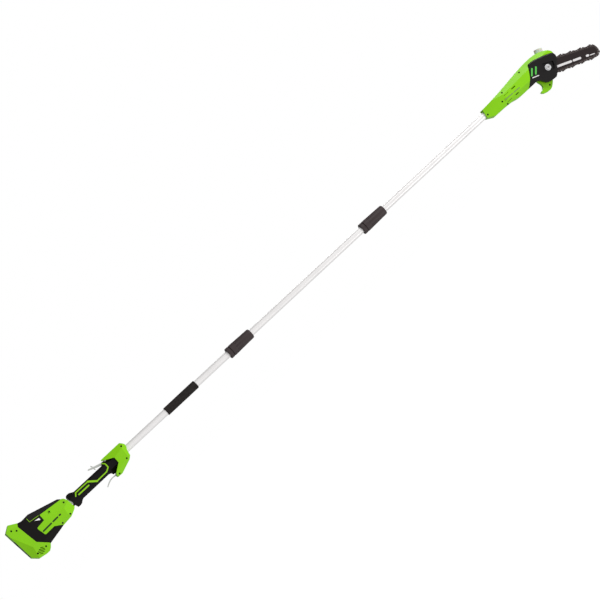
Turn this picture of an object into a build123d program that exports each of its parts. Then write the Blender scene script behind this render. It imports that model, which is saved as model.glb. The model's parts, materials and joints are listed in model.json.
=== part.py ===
from build123d import *
import math
import os

# Cordless pole saw with a shaft in three screwed sections.
#
# Millimetres. The shaft axis is the X axis. X = 0 is the battery's end face, +X runs
# out to the saw head, +Z is up on the side of the lock-off lever and the oil cap, and
# -Y is the right-hand side, which carries the guide bar and its cover.

# ---------------------------------------------------------------- driving dimensions
TUBE_R = 12.0
TUBE_WALL = 1.3
WALL = 2.5
CLEAR = 0.3

LOWER_TUBE = (132.0, 982.0)
MIDDLE_TUBE = (984.0, 1618.0)
UPPER_TUBE = (1620.0, 2255.0)
COUPLER_LENGTH = 106.0
LOWER_COUPLER_X = 958.5
UPPER_COUPLER_X = 1595.0
FOAM = (668.0, 807.0)
FOAM_R = 15.3

BASE_HALF = 48.0
BODY_HALF = 39.0
PANEL_PROUD = 0.8
GRIP_HALF = 17.0
GUARD_HALF = 26.0
HEAD_HALF = 34.0

BATTERY_HALF = 28.0
BATTERY_LOW = -46.0
BATTERY_HIGH = 28.0
BATTERY_LENGTH = 74.0
BAY_WALL = 2.5
END_LEAN = math.tan(math.radians(4.5))

BAR_PITCH = math.radians(22.0)
NUT_X = 2477.4
NUT_Z = -28.2
BAR_DEPTH = 20.0
BAR_THICK = 4.0
SPROCKET_BACK = 55.0
CHAIN_LINK = 19.05
CHAIN_R = 18.3
BAR_WAIST = 25.2
BAR_NOSE = 195.0
STRAP_HALF = 3.4
TANG_DEPTH = 6.5
BAR_TRAVEL = 1.5

SCREW_R = 1.5
SCREW_HEAD_R = 2.9
SCREW_HEAD_HEIGHT = 1.8
SCREW_SLOT = 3.2
SCREW_SLOT_DEPTH = 1.1
BOSS_R = 4.2

# ---------------------------------------------------------------- frames
ACROSS = Plane.YZ


def on_bar(u, v):
    """Side-view X and Z of a point given along and across the guide bar."""
    x = NUT_X + u * math.cos(BAR_PITCH) + v * math.sin(BAR_PITCH)
    z = NUT_Z - u * math.sin(BAR_PITCH) + v * math.cos(BAR_PITCH)
    return x, z


BAR = Plane(
    origin=(NUT_X, 0, NUT_Z),
    x_dir=(math.cos(BAR_PITCH), 0, -math.sin(BAR_PITCH)),
    z_dir=(0, -1, 0),
)
SPROCKET_X, SPROCKET_Z = on_bar(-SPROCKET_BACK, 0)
SPROCKET = Plane(origin=(SPROCKET_X, 0, SPROCKET_Z), x_dir=(1, 0, 0), z_dir=(0, -1, 0))


# ---------------------------------------------------------------- shared shapes
def prism(outline, start, end, plane=Plane.XZ):
    """Straight prism standing on a plane, from one offset to another."""
    with BuildPart() as block:
        with BuildSketch(plane.offset(start)):
            Polygon(*outline)
        extrude(amount=end - start)
    return block.part


def disc(plane, centre, radius, start, end, bore=0.0):
    """Round bar or washer standing on a plane."""
    with BuildPart() as round_bar:
        with BuildSketch(plane.offset(start)):
            with Locations(centre):
                Circle(radius)
                if bore:
                    Circle(bore, mode=Mode.SUBTRACT)
        extrude(amount=end - start)
    return round_bar.part


def pipe(start, end, outer, inner=0.0, centre=(0, 0)):
    """Tube along the shaft."""
    return disc(ACROSS, centre, outer, start, end, inner)


def stepped_ring(profile):
    """Body of revolution about the shaft, from (X, radius) corners."""
    with BuildPart() as ring:
        with BuildSketch(Plane.XZ):
            Polygon(*profile)
        revolve(axis=Axis.X)
    return ring.part


def facet(a, b, c):
    """Plane through three points that faces out on the right-hand side."""
    normal = (Vector(*b) - Vector(*a)).cross(Vector(*c) - Vector(*a)).normalized()
    if normal.Y > 0:
        normal = normal * -1
    return Plane(origin=a, z_dir=normal)


def solid_half(outline, half_width, facets, inset=0.0):
    """Right-hand half of a housing from its side outline, cut back to its facets."""
    with BuildPart() as half:
        with BuildSketch(Plane.XZ):
            Polygon(*outline)
            if inset:
                offset(amount=-inset, kind=Kind.INTERSECTION)
        extrude(amount=half_width - inset)
        for plane in facets:
            split(bisect_by=plane.offset(-inset), keep=Keep.BOTTOM)
    return half.part


def shell_half(outline, half_width, facets, screws=()):
    """Right-hand shell, open on the middle plane, with a drilled boss for each screw."""
    with BuildPart() as cavity:
        add(solid_half(outline, half_width, facets, WALL))
        for x, z, _ in screws:
            add(disc(Plane.XZ, (x, z), BOSS_R, 0, half_width), mode=Mode.SUBTRACT)
    with BuildPart() as shell:
        add(solid_half(outline, half_width, facets))
        add(cavity.part, mode=Mode.SUBTRACT)
    return shell.part


def screw_holes(screws, depth):
    """Holes for the screws' shanks, through the bosses."""
    with BuildPart() as holes:
        for x, z, _ in screws:
            add(disc(Plane.XZ, (x, z), SCREW_R + 0.1, -depth, depth))
    return holes.part


def head_recesses(screws):
    """Deep round recesses that the screw heads sit in."""
    with BuildPart() as recesses:
        for x, z, seat in screws:
            add(disc(Plane.XZ, (x, z), SCREW_HEAD_R + 0.3, seat, seat + 30))
    return recesses.part


def screw_set(screws, reach):
    """Pan-head screws, driven in from the right-hand side, one solid each."""
    with BuildPart() as fasteners:
        for x, z, seat in screws:
            add(disc(Plane.XZ, (x, z), SCREW_HEAD_R, seat, seat + SCREW_HEAD_HEIGHT))
            add(disc(Plane.XZ, (x, z), SCREW_R, -reach, seat))
            with BuildSketch(Plane.XZ.offset(seat + SCREW_HEAD_HEIGHT)):
                with Locations((x, z)):
                    Rectangle(SCREW_SLOT, SCREW_SLOT / 4)
                    Rectangle(SCREW_SLOT / 4, SCREW_SLOT)
            extrude(amount=-SCREW_SLOT_DEPTH, mode=Mode.SUBTRACT)
    return fasteners.part


def gear_outline(teeth, module, centre_angle=0.0):
    """Spur gear outline with straight-flanked teeth and some backlash."""
    pitch_r = teeth * module / 2
    root_r = pitch_r - 1.2 * module
    tip_r = pitch_r + 0.85 * module
    pitch_angle = math.tau / teeth
    corners = []
    for tooth in range(teeth):
        middle = centre_angle + tooth * pitch_angle
        for share, radius in ((-0.29, root_r), (-0.11, tip_r), (0.11, tip_r), (0.29, root_r)):
            angle = middle + share * pitch_angle
            corners.append((radius * math.cos(angle), radius * math.sin(angle)))
    return corners


# ---------------------------------------------------------------- battery base
BASE_OUTLINE = [
    (-5.2, 66), (18, 82), (46, 66), (38.5, 56), (50, -23), (80, -53),
    (83, -58), (73, -69), (64, -75), (53, -75), (24, -70), (4, -51),
]
BASE_FACETS = [
    facet((7.5, -BASE_HALF, 22), (30.5, -BASE_HALF, -28), (4, -35, -50)),
    facet((30.5, -BASE_HALF, -28), (51, -BASE_HALF, -24), (53, -36, -75)),
    facet((14, -BASE_HALF, 66), (44, -BASE_HALF, 56), (30, -40, 76)),
]
BASE_SCREWS = [(13, 60, 42.5), (27, 49, 44), (28, -54, 36), (64, -55, 36)]

bay_mouth = prism(
    [
        (-20, BATTERY_LOW - 0.5), (100, BATTERY_LOW - 0.5),
        (100, BATTERY_HIGH + 0.5), (-20, BATTERY_HIGH + 0.5),
    ],
    -BATTERY_HALF - 0.5,
    BATTERY_HALF + 0.5,
)
bay_outside = prism(
    [
        (6, BATTERY_LOW - 3), (100, BATTERY_LOW - 3),
        (100, BATTERY_HIGH + 3), (6, BATTERY_HIGH + 3),
    ],
    -BATTERY_HALF - 3,
    BATTERY_HALF + 3,
)
base_blank = shell_half(BASE_OUTLINE, BASE_HALF, BASE_FACETS, BASE_SCREWS)

VENT_MIDDLE = (44.0, -55.5)
VENT_PITCH = (3.4, 3.65)
VENT_LENGTHS = (12, 21, 25, 21, 12)
VENT_LEAN = 28.0
VENT_WIDTH = 2.2

with BuildPart() as base_shell_right:
    add(base_blank)
    add(bay_mouth, mode=Mode.SUBTRACT)
    add(bay_outside, mode=Mode.SUBTRACT)
    add(screw_holes(BASE_SCREWS, 60), mode=Mode.SUBTRACT)
    add(head_recesses(BASE_SCREWS), mode=Mode.SUBTRACT)
    with BuildSketch(Plane.XZ.offset(30)):
        for row, vent_length in enumerate(VENT_LENGTHS, start=-2):
            vent_x = VENT_MIDDLE[0] + row * VENT_PITCH[0]
            vent_z = VENT_MIDDLE[1] + row * VENT_PITCH[1]
            with Locations(Location((vent_x, vent_z, 0), (0, 0, -VENT_LEAN))):
                SlotOverall(vent_length, VENT_WIDTH)
    extrude(amount=30, mode=Mode.SUBTRACT)

with BuildPart() as base_shell_left:
    add(base_blank)
    add(bay_mouth, mode=Mode.SUBTRACT)
    add(bay_outside, mode=Mode.SUBTRACT)
    add(screw_holes(BASE_SCREWS, 12), mode=Mode.SUBTRACT)
    mirror(about=Plane.XZ, mode=Mode.REPLACE)

# ---------------------------------------------------------------- rear body
BODY_OUTLINE = [
    (38.5, 56), (46, 66), (62, 62), (92, 64), (197, 35), (215, 20), (220, 8), (223, -23),
    (217, -28), (193, -39), (157, -42.6), (139, -47), (83, -58), (80, -53), (50, -23),
]
BODY_FACETS = [
    facet((122, -BODY_HALF, 13), (202, -BODY_HALF, -6), (160, -18, 41)),
    facet((196, -BODY_HALF, 10), (186, -BODY_HALF, -38), (224, -26, -10)),
    facet((80, -BODY_HALF, -36), (190, -BODY_HALF, -26), (120, -31, -50)),
]
PANEL_OUTLINE = [
    (240, 40), (222, 40), (212, 25), (206, 26), (119, 36), (118, 13), (82, 9),
    (89, -26), (129, -25), (154, -41), (165, -60), (240, -60),
]
PANEL_TONGUE_R = 5.0
RUBBER_REGION = [(79, 80), (79, 41), (116, 36.5), (206, 26.5), (212, 25.5), (222, 41), (222, 80)]
OPENING = [(91, 34.5), (115, 30), (115, 18.5)]
BODY_SCREWS = [(206, 12, 29), (150, 22, 34.5), (196, -31, 33.5), (157, -36, 34.5)]
TUBE_SOCKET_R = TUBE_R + 3.0
CONDUIT_R = 3.5
CONDUIT_Z = -17.5

rubber_region = prism(RUBBER_REGION, -1, BODY_HALF + 5)

with BuildPart() as panel_region:
    with BuildSketch(Plane.XZ.offset(-1)) as panel_side:
        Polygon(*PANEL_OUTLINE)
        fillet(panel_side.vertices().sort_by(Axis.X)[:2], radius=PANEL_TONGUE_R)
    extrude(amount=BODY_HALF + 6)

with BuildPart() as body_hollow:
    add(solid_half(BODY_OUTLINE, BODY_HALF, BODY_FACETS, WALL))
    with BuildSketch(Plane.XZ):
        Polygon(*OPENING)
        offset(amount=2.0, kind=Kind.INTERSECTION)
    extrude(amount=BODY_HALF, mode=Mode.SUBTRACT)
    for screw_x, screw_z, _ in BODY_SCREWS:
        add(disc(Plane.XZ, (screw_x, screw_z), BOSS_R, 0, BODY_HALF), mode=Mode.SUBTRACT)
    add(pipe(170, 230, TUBE_SOCKET_R), mode=Mode.SUBTRACT)

with BuildPart() as body_openings:
    add(body_hollow.part)
    add(prism(OPENING, -1, BODY_HALF + 1))
    add(pipe(100, 240, TUBE_R))
    add(bay_outside)
    add(screw_holes(BODY_SCREWS, 60))
    add(disc(ACROSS, (0, CONDUIT_Z), CONDUIT_R + 0.1, 200, 240))

with BuildPart() as body_blank:
    add(solid_half(BODY_OUTLINE, BODY_HALF, BODY_FACETS))
    add(body_openings.part, mode=Mode.SUBTRACT)

with BuildPart() as panel_blank:
    add(solid_half(BODY_OUTLINE, BODY_HALF, BODY_FACETS, -PANEL_PROUD))
    add(panel_region.part, mode=Mode.INTERSECT)
    add(body_openings.part, mode=Mode.SUBTRACT)

with BuildPart() as body_half:
    add(body_blank.part)
    add(panel_region.part, mode=Mode.SUBTRACT)
    add(rubber_region, mode=Mode.SUBTRACT)

with BuildPart() as body_shell_right:
    add(body_half.part)
    add(head_recesses(BODY_SCREWS), mode=Mode.SUBTRACT)

with BuildPart() as body_shell_left:
    add(body_half.part)
    mirror(about=Plane.XZ, mode=Mode.REPLACE)

with BuildPart() as side_panel_right:
    add(panel_blank.part)
    add(head_recesses(BODY_SCREWS), mode=Mode.SUBTRACT)

with BuildPart() as side_panel_left:
    add(panel_blank.part)
    mirror(about=Plane.XZ, mode=Mode.REPLACE)

with BuildPart() as handle_overmould:
    add(body_blank.part)
    add(rubber_region, mode=Mode.INTERSECT)
    add(panel_region.part, mode=Mode.SUBTRACT)
    mirror(about=Plane.XZ)

# ---------------------------------------------------------------- battery
BATTERY_OUTLINE = [
    (-END_LEAN * BATTERY_HIGH, BATTERY_HIGH), (BATTERY_LENGTH, BATTERY_HIGH),
    (BATTERY_LENGTH, BATTERY_LOW), (-END_LEAN * BATTERY_LOW, BATTERY_LOW),
]
BUTTON_POCKET = [(-10, 8), (9, 8), (9, 22), (-10, 22)]
BUTTON_OUTLINE = [(-2.6, 8.5), (4.5, 8.5), (4.5, 21.5), (-3.6, 21.5)]
BUTTON_HALF = 14.0
BLADE_Y = (-16, -5, 6, 17)

with BuildPart() as battery_case:
    add(prism(BATTERY_OUTLINE, -BATTERY_HALF, BATTERY_HALF))
    fillet(battery_case.edges().filter_by(Axis.X, tolerance=6), radius=4)
    add(prism(BUTTON_POCKET, -BUTTON_HALF - 0.5, BUTTON_HALF + 0.5), mode=Mode.SUBTRACT)
    for blade_y in BLADE_Y:
        with BuildSketch(ACROSS.offset(BATTERY_LENGTH)):
            with Locations((blade_y, -20)):
                Rectangle(1.8, 12)
        extrude(amount=-14, mode=Mode.SUBTRACT)

with BuildPart() as battery_release:
    add(prism(BUTTON_OUTLINE, -BUTTON_HALF, BUTTON_HALF))
    for rib in range(3):
        with BuildSketch(ACROSS.offset(-8)):
            with Locations((0, 11.5 + 3.5 * rib)):
                Rectangle(22, 1.2)
        extrude(amount=5.6, mode=Mode.SUBTRACT)

with BuildPart() as battery_bay:
    with BuildSketch(ACROSS.offset(6)):
        with Locations((0, (BATTERY_LOW + BATTERY_HIGH) / 2)):
            Rectangle(2 * BATTERY_HALF + 6, BATTERY_HIGH - BATTERY_LOW + 6)
    extrude(amount=74)
    with BuildSketch(ACROSS.offset(6)):
        with Locations((0, (BATTERY_LOW + BATTERY_HIGH) / 2)):
            Rectangle(2 * BATTERY_HALF + 1, BATTERY_HIGH - BATTERY_LOW + 1)
    extrude(amount=69.5, mode=Mode.SUBTRACT)
    for blade_y in BLADE_Y:
        with BuildSketch(ACROSS.offset(60)):
            with Locations((blade_y, -20)):
                Rectangle(0.8, 8)
        extrude(amount=40, mode=Mode.SUBTRACT)

with BuildPart() as bay_contacts:
    for blade_y in BLADE_Y:
        with BuildSketch(ACROSS.offset(65)):
            with Locations((blade_y, -20)):
                Rectangle(0.8, 8)
        extrude(amount=20)

with BuildPart() as control_board:
    with BuildSketch(ACROSS.offset(86)):
        with Locations((0, -18)):
            Rectangle(44, 36)
    extrude(amount=1.6)
    with BuildSketch(ACROSS.offset(87.6)):
        with Locations((-12, -22), (12, -22)):
            Rectangle(14, 12)
    extrude(amount=9)

# ---------------------------------------------------------------- shaft tubes and foam
with BuildPart() as lower_tube:
    add(pipe(*LOWER_TUBE, TUBE_R, TUBE_R - TUBE_WALL))

with BuildPart() as middle_tube:
    add(pipe(*MIDDLE_TUBE, TUBE_R, TUBE_R - TUBE_WALL))

with BuildPart() as upper_tube:
    add(pipe(*UPPER_TUBE, TUBE_R, TUBE_R - TUBE_WALL))

with BuildPart() as foam_grip:
    add(pipe(*FOAM, FOAM_R, TUBE_R))
    fillet(foam_grip.edges().filter_by(GeomType.CIRCLE).sort_by(SortBy.RADIUS)[-2:], radius=1.5)

with BuildPart() as cable_conduit:
    add(disc(ACROSS, (0, CONDUIT_Z), CONDUIT_R, 204, 238))


# ---------------------------------------------------------------- screwed couplers
def ferrule(start):
    """Collar fixed on a tube's front end: a grip ring, then a threaded nose."""
    profile = [
        (start, TUBE_R), (start, 19), (start + 1.5, 20.5), (start + 12.5, 20.5),
        (start + 14, 19), (start + 14, 15.5), (start + 48, 15.5), (start + 50, 14.5),
        (start + 50, TUBE_R + 0.05), (start + 23.5, TUBE_R + 0.05), (start + 23.5, TUBE_R),
    ]
    return stepped_ring(profile)


def sleeve(start):
    """Tapered union nut that turns on the next tube and covers the threaded nose."""
    end = start + COUPLER_LENGTH
    profile = [
        (start + 15, 19.2), (start + 17, 20.5), (start + 30, 20.5), (end - 3, 18.4),
        (end, 17), (end, TUBE_R + 0.08), (start + 56, TUBE_R + 0.08),
        (start + 56, 15.6), (start + 15, 15.6),
    ]
    with BuildPart() as nut:
        add(stepped_ring(profile))
        with BuildSketch(ACROSS.offset(start + 34)):
            with PolarLocations(19.6, 12):
                Rectangle(1.6, 5)
        extrude(amount=COUPLER_LENGTH - 46, mode=Mode.SUBTRACT)
    return nut.part


def contact_plug(start, length, radius, bore):
    """Round insulator in a tube's end, bored for the wiring."""
    return disc(ACROSS, (0, 0), radius, start, start + length, bore)


LINER_R = TUBE_R - TUBE_WALL
PIN_R = 4.0
WIRE_R = 3.0

with BuildPart() as lower_ferrule:
    add(ferrule(LOWER_COUPLER_X))

with BuildPart() as lower_sleeve:
    add(sleeve(LOWER_COUPLER_X))

with BuildPart() as upper_ferrule:
    add(ferrule(UPPER_COUPLER_X))

with BuildPart() as upper_sleeve:
    add(sleeve(UPPER_COUPLER_X))

with BuildPart() as lower_socket:
    add(contact_plug(LOWER_TUBE[1] - 30, 30, LINER_R, PIN_R))

with BuildPart() as upper_socket:
    add(contact_plug(MIDDLE_TUBE[1] - 30, 30, LINER_R, PIN_R))

with BuildPart() as lower_plug:
    add(contact_plug(MIDDLE_TUBE[0], 25, LINER_R, WIRE_R))
    add(pipe(MIDDLE_TUBE[0] - 18, MIDDLE_TUBE[0], PIN_R - 0.06))

with BuildPart() as upper_plug:
    add(contact_plug(UPPER_TUBE[0], 25, LINER_R, WIRE_R))
    add(pipe(UPPER_TUBE[0] - 18, UPPER_TUBE[0], PIN_R - 0.06))

with BuildPart() as lower_wire:
    add(pipe(LOWER_TUBE[0] - 20, LOWER_TUBE[1] - 25, WIRE_R))

with BuildPart() as middle_wire:
    add(pipe(MIDDLE_TUBE[0] + 2, MIDDLE_TUBE[1] - 25, WIRE_R))

with BuildPart() as upper_wire:
    add(pipe(UPPER_TUBE[0] + 2, UPPER_TUBE[1] + 7, WIRE_R))

# ---------------------------------------------------------------- grip and guard
GRIP_OUTLINE = [
    (223.5, 16), (227, 21.2), (233, 23.6), (242, 22.8), (249, 18.6), (256, 15), (384, 15),
    (393.5, 27), (432, 6.4), (431.6, -15.4), (402, -36), (399, -42), (396, -37), (392, -26),
    (384, -22.5), (265, -23), (259, -26), (252, -31.8), (243, -33.8), (234.5, -33.2),
]
GRIP_FACETS = [
    facet((240, -GRIP_HALF - 3, 4), (430, -GRIP_HALF - 3, 4), (300, -11, 15)),
    facet((240, -GRIP_HALF - 3, -12), (430, -GRIP_HALF - 3, -12), (300, -11, -23)),
]
GRIP_WALL = 2.0
COLLAR_SCREW = [(236, 16, 12)]
GUARD_OUTLINE = [
    (393.5, 28), (398, 31), (478, 31), (488.5, 17), (488.5, 8), (482, -2), (477, -24),
    (466, -33), (417, -51), (401, -50), (398, -42), (402, -36), (431.6, -15.4), (432, 6.4),
]
GUARD_FACETS = [
    facet((427, -GUARD_HALF, 6), (471, -GUARD_HALF, 12), (440, -13, 31)),
    facet((471, -GUARD_HALF, 12), (468, -GUARD_HALF, -30), (489, -19, 8)),
    facet((400, -GUARD_HALF, -38), (468, -GUARD_HALF, -20), (420, -20, -51)),
]
GUARD_SCREWS = [(475, 18.5, 14), (461, -24, 22.5), (409, -45, 19.5)]
LEVER_SLOT = [(376, 14), (412, 14), (412, 34), (376, 34)]
TRIGGER_SLOT = [(389, -60), (404, -60), (404, -34), (389, -34)]

with BuildPart() as grip_hollow:
    add(solid_half(GRIP_OUTLINE, GRIP_HALF, GRIP_FACETS, GRIP_WALL))
    add(pipe(200, 262, TUBE_R + 3), mode=Mode.SUBTRACT)
    add(disc(Plane.XZ, COLLAR_SCREW[0][:2], BOSS_R, 0, GRIP_HALF + 3), mode=Mode.SUBTRACT)

with BuildPart() as grip_blank:
    add(solid_half(GRIP_OUTLINE, GRIP_HALF + 3, GRIP_FACETS))
    add(prism([(262, 40), (440, 40), (440, -50), (262, -50)], GRIP_HALF, 30), mode=Mode.SUBTRACT)
    add(grip_hollow.part, mode=Mode.SUBTRACT)
    add(pipe(200, 450, TUBE_R), mode=Mode.SUBTRACT)
    add(disc(ACROSS, (0, CONDUIT_Z), CONDUIT_R + 0.1, 200, 245), mode=Mode.SUBTRACT)
    add(prism(LEVER_SLOT, -5, 5), mode=Mode.SUBTRACT)
    add(prism(TRIGGER_SLOT, -6, 6), mode=Mode.SUBTRACT)
    add(screw_holes(COLLAR_SCREW, 60), mode=Mode.SUBTRACT)


INLAY_LINE = [
    (250, -1), (258, 8.5), (313, 8), (337, -12), (382, -11), (396, -3), (396, 13), (389, 21),
]
INLAY_STEP = [(313, 8), (337, -12)]
INLAY_BAR = [(262, -3.5), (307, -3.5)]
INLAY_WIDTH = 4.2
INLAY_STEP_WIDTH = 6.6
INLAY_BAR_WIDTH = 5.0
INLAY_DEPTH = 0.8


def band(line, width, start, end):
    """Strip of constant width along a bent line, on the side plane."""
    with BuildPart() as strip:
        with BuildSketch(Plane.XZ.offset(start)):
            for (x0, z0), (x1, z1) in zip(line, line[1:]):
                run = math.hypot(x1 - x0, z1 - z0)
                turn = math.degrees(math.atan2(z1 - z0, x1 - x0))
                with Locations(Location(((x0 + x1) / 2, (z0 + z1) / 2, 0), (0, 0, turn))):
                    SlotCenterToCenter(run, width)
        extrude(amount=end - start)
    return strip.part


with BuildPart() as inlay_bands:
    add(band(INLAY_LINE, INLAY_WIDTH, 0, GRIP_HALF + 5))
    add(band(INLAY_STEP, INLAY_STEP_WIDTH, 0, GRIP_HALF + 5))
    add(band(INLAY_BAR, INLAY_BAR_WIDTH, 0, GRIP_HALF + 5))

with BuildPart() as grip_inlays:
    add(grip_blank.part)
    add(solid_half(GRIP_OUTLINE, GRIP_HALF, GRIP_FACETS, INLAY_DEPTH), mode=Mode.SUBTRACT)
    add(inlay_bands.part, mode=Mode.INTERSECT)
    mirror(about=Plane.XZ)

with BuildPart() as grip_shell_right:
    add(grip_blank.part)
    add(grip_inlays.part, mode=Mode.SUBTRACT)
    add(head_recesses(COLLAR_SCREW), mode=Mode.SUBTRACT)

with BuildPart() as grip_shell_left:
    add(grip_blank.part)
    mirror(about=Plane.XZ, mode=Mode.REPLACE)
    add(grip_inlays.part, mode=Mode.SUBTRACT)

guard_blank = shell_half(GUARD_OUTLINE, GUARD_HALF, GUARD_FACETS, GUARD_SCREWS)

with BuildPart() as guard_half:
    add(guard_blank)
    add(pipe(380, 500, TUBE_R), mode=Mode.SUBTRACT)
    add(prism(LEVER_SLOT, -5, 5), mode=Mode.SUBTRACT)
    add(prism(TRIGGER_SLOT, -6, 6), mode=Mode.SUBTRACT)
    add(screw_holes(GUARD_SCREWS, 60), mode=Mode.SUBTRACT)

with BuildPart() as guard_shell_right:
    add(guard_half.part)
    add(head_recesses(GUARD_SCREWS), mode=Mode.SUBTRACT)

with BuildPart() as guard_shell_left:
    add(guard_half.part)
    mirror(about=Plane.XZ, mode=Mode.REPLACE)

# ---------------------------------------------------------------- trigger and lock-off
TRIGGER_PIN = (400, -40)
TRIGGER_OUTLINE = [
    (403, -42), (403, -37.6), (397, -37.6), (391, -37.8), (384, -37.2), (377, -37.9), (370, -39.8),
    (363, -42.8), (356, -46.7), (350.6, -50.4), (351.8, -52.6), (357, -49.6), (364, -46.2),
    (371, -43.6), (378, -41.8), (384, -41), (391, -41.6), (397, -42.4),
]
LEVER_PIN = (404, 20)
LEVER_OUTLINE = [
    (407, 17.6), (407, 22.4), (398, 23.4), (386, 24.6), (373, 28.2), (361.4, 31.6), (357.4, 40),
    (355, 39.2), (357.6, 33), (343.4, 37.2), (340.6, 35.8), (340.6, 33), (356.8, 26.8),
    (359.6, 19.6), (362, 20.4), (361.4, 24.8), (372, 20.6), (384, 17), (400, 17),
]
PIN_RADIUS = 1.5

with BuildPart() as trigger:
    add(prism(TRIGGER_OUTLINE, -5, 5))
    add(disc(Plane.XZ, TRIGGER_PIN, PIN_RADIUS + 0.05, -6, 6), mode=Mode.SUBTRACT)

with BuildPart() as lockoff_lever:
    add(prism(LEVER_OUTLINE, -4.5, 4.5))
    add(disc(Plane.XZ, LEVER_PIN, PIN_RADIUS + 0.05, -6, 6), mode=Mode.SUBTRACT)

with BuildPart() as control_pins:
    add(disc(Plane.XZ, TRIGGER_PIN, PIN_RADIUS, -12, 12))
    add(disc(Plane.XZ, LEVER_PIN, PIN_RADIUS, -9, 9))

# ---------------------------------------------------------------- saw head housing
HEAD_OUTLINE = [
    (2199, 19), (2240, 21), (2295, 25.5), (2346, 31.5), (2396, 37), (2424, 39.3), (2450, 39.6),
    (2470, 37.8), (2488, 33), (2504, 26), (2517, 17), (2525, 6), (2526, -6), (2520, -17),
    (2512, -27), (2498, -35), (2474, -38), (2350, -38), (2335, -37.2), (2322, -35), (2306, -31),
    (2279, -29), (2222, -28), (2194, -13.5),
]
HEAD_FACETS = [
    facet((2210, -HEAD_HALF, 6), (2440, -HEAD_HALF, 14), (2330, -22, 33)),
    facet((2222, -HEAD_HALF, -14), (2400, -HEAD_HALF, -20), (2300, -20, -33)),
    facet((2199, -19, 10), (2199, -19, -10), (2290, -HEAD_HALF, 0)),
]
HEAD_SCREWS = [(2387.5, 27.5, 23.5), (2290, 16.5, 27), (2269, -7, 27.5), (2279.5, -26, 22.5)]
CLAMP_SCREWS = [(2202, -6, 17.5)]
COVER_OUTLINE = [
    (2376, -38), (2402, -11), (2428, 27), (2446, 26.6), (2460, 23.6), (2495, 12.6), (2517, 3),
    (2526, -3), (2528.5, -15), (2521, -28), (2491, -63), (2479, -73), (2461, -71.5),
    (2446, -68), (2437, -62), (2424, -42), (2415, -38),
]
PLATFORM = 12.6
COVER_FACE = 35.0
CHAMBER_R = 28.5
CHAMBER_DEPTH = 23.5
SHAFT_R = 5.0
COVER_CORNER_R = 6.0
PANEL_SLOTS = [
    ((2332, 3), 19, 3.0), ((2328.5, -22), 15, 3.0), ((2298, 3.5), 21, 1.2), ((2293.5, -21), 22, 1.2),
]


def cover_block(start, end, growth=0.0):
    """Prism with the bar cover's side outline, rounded at all corners but the rear tip."""
    with BuildPart() as block:
        with BuildSketch(Plane.XZ.offset(start)) as cover_side:
            Polygon(*COVER_OUTLINE)
            fillet(cover_side.vertices().sort_by(Axis.X)[1:], radius=COVER_CORNER_R)
            if growth:
                offset(amount=growth, kind=Kind.INTERSECTION)
        extrude(amount=end - start)
    return block.part


cover_prism = cover_block(PLATFORM, 60)
chamber = disc(SPROCKET, (0, 0), CHAMBER_R, PLATFORM, CHAMBER_DEPTH)
chamber_wall = disc(SPROCKET, (0, 0), CHAMBER_R + 1.5, PLATFORM - WALL, CHAMBER_DEPTH + 1.5)
pocket_wall = cover_block(PLATFORM - WALL, 60, WALL)

CAP_PLANE = Plane(
    origin=(on_bar(0, 54)[0], 8, on_bar(0, 54)[1]),
    x_dir=(math.cos(BAR_PITCH), 0, -math.sin(BAR_PITCH)),
    z_dir=(math.sin(BAR_PITCH), 0, math.cos(BAR_PITCH)),
)
NECK_R = 9.0
TENSION_V = 14.0
PIN_TRAVEL_SLOT = 7.5
TENSION_R = 2.0
TENSION_HEAD_R = 3.4
TENSION = Plane(
    origin=(on_bar(0, TENSION_V)[0], -6, on_bar(0, TENSION_V)[1]),
    x_dir=(0, 1, 0),
    z_dir=(math.cos(BAR_PITCH), 0, -math.sin(BAR_PITCH)),
)

with BuildPart() as head_right_cavity:
    add(solid_half(HEAD_OUTLINE, HEAD_HALF, HEAD_FACETS, WALL))
    for screw_x, screw_z, _ in HEAD_SCREWS:
        add(disc(Plane.XZ, (screw_x, screw_z), BOSS_R, 0, HEAD_HALF), mode=Mode.SUBTRACT)
    add(pipe(2150, 2255, TUBE_R + 3), mode=Mode.SUBTRACT)
    add(pocket_wall, mode=Mode.SUBTRACT)
    add(chamber_wall, mode=Mode.SUBTRACT)

with BuildPart() as head_blank_right:
    add(solid_half(HEAD_OUTLINE, HEAD_HALF, HEAD_FACETS))
    add(head_right_cavity.part, mode=Mode.SUBTRACT)

with BuildPart() as head_openings:
    add(pipe(2100, UPPER_TUBE[1], TUBE_R))
    add(disc(CAP_PLANE, (0, 0), NECK_R + 0.3, -12, 12))
    add(screw_holes(HEAD_SCREWS, 15))

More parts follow.
